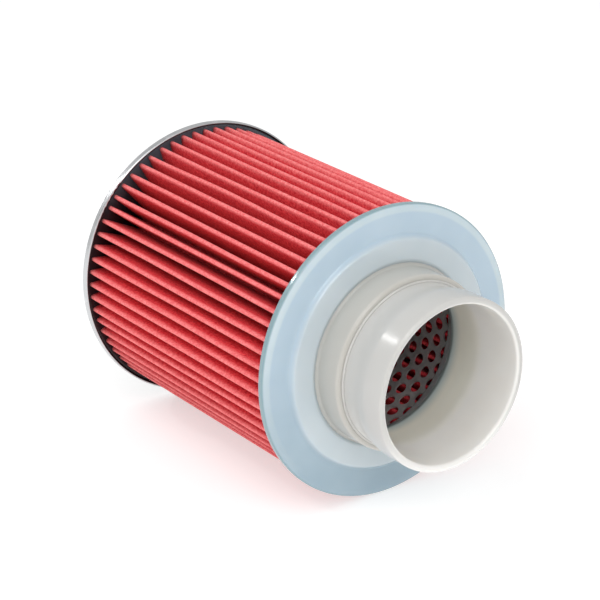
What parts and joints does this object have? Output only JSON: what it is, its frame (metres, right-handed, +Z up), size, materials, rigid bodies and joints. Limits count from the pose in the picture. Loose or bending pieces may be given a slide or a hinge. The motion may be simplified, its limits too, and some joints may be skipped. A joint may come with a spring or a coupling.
{
  "type": "air filter",
  "caption": "Round pleated-paper air filter with a perforated metal core, a closed metal rear cap and a moulded front cap with a flared plastic outlet tube.",
  "frame": {"origin": "on the filter's axis, in the plane of the front cap's flat sealing ring", "axes": "+X along the axis and out of the outlet tube, +Z up with the filter lying on its two round end caps"},
  "size_m": [0.17, 0.1216, 0.1216],
  "materials": {
    "filter_paper": "resin-treated paper, matt with a faint grain",
    "plated_steel": "zinc-plated sheet, satin",
    "core_steel": "plain steel sheet, dull",
    "potting_compound": "soft cast compound, satin",
    "moulded_cap": "soft moulded polymer, slightly translucent, semi-gloss",
    "white_plastic": "moulded, slightly translucent, semi-gloss",
    "joint_adhesive": "cured clear adhesive bead"
  },
  "bodies": {
    "root": {"pleated_paper": "filter_paper", "paper_seam_clip": "plated_steel", "perforated_core": "core_steel", "rear_end_cap": "plated_steel", "rear_potting": "potting_compound", "front_end_cap": "moulded_cap", "outlet_collar": "white_plastic", "collar_joint_bead": "joint_adhesive", "outlet_tube": "white_plastic"}
  },
  "joints": []
}
